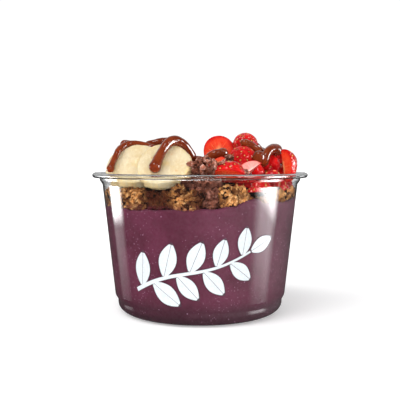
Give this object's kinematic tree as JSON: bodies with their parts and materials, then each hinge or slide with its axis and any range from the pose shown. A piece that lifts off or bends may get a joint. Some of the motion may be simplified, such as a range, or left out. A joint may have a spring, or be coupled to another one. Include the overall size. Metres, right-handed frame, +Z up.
{
  "type": "acai bowl",
  "caption": "Clear tapered plastic cup of thick acai topped with granola, banana slices, cacao nibs, cut strawberries and ribbons of chocolate spread",
  "frame": {"origin": "the middle of the foot ring of the cup, on the surface that the cup stands on", "axes": "+Z up out of the cup, -Y the front, with the banana slices on the left (-X) and the strawberries on the right (+X)"},
  "size_m": [0.117, 0.117, 0.0978],
  "materials": {
    "clear_plastic": "clear, smooth and glossy PET, thermoformed",
    "acai": "matte frozen acai, dusty purple with fine frost",
    "granola": "rough toasted oat clusters",
    "cacao": "matte roasted nibs with pale dust",
    "banana": "moist cut fruit, pale cream",
    "strawberry": "glossy seeded red skin and moist cut flesh",
    "chocolate_spread": "smooth and glossy brown spread"
  },
  "bodies": {
    "root": {"cup": "clear_plastic", "acai": "acai", "granola": "granola", "cacao_nibs": "cacao", "banana_1": "banana", "banana_2": "banana", "banana_3": "banana", "banana_4": "banana", "banana_5": "banana", "banana_6": "banana", "banana_7": "banana", "banana_8": "banana", "strawberry_01": "strawberry", "strawberry_02": "strawberry", "strawberry_03": "strawberry", "strawberry_04": "strawberry", "strawberry_05": "strawberry", "strawberry_06": "strawberry", "strawberry_07": "strawberry", "strawberry_08": "strawberry", "strawberry_09": "strawberry", "strawberry_10": "strawberry", "strawberry_11": "strawberry", "strawberry_12": "strawberry", "strawberry_13": "strawberry", "strawberry_14": "strawberry", "strawberry_15": "strawberry", "strawberry_16": "strawberry", "strawberry_17": "strawberry", "strawberry_18": "strawberry", "strawberry_19": "strawberry", "strawberry_20": "strawberry", "strawberry_21": "strawberry", "strawberry_22": "strawberry", "strawberry_23": "strawberry", "strawberry_24": "strawberry", "strawberry_25": "strawberry", "strawberry_26": "strawberry", "strawberry_27": "strawberry", "strawberry_28": "strawberry", "strawberry_29": "strawberry", "spread_1": "chocolate_spread", "spread_2": "chocolate_spread", "spread_3": "chocolate_spread", "spread_4": "chocolate_spread", "spread_5": "chocolate_spread", "spread_6": "chocolate_spread", "spread_7": "chocolate_spread", "spread_8": "chocolate_spread", "spread_9": "chocolate_spread"}
  },
  "joints": []
}
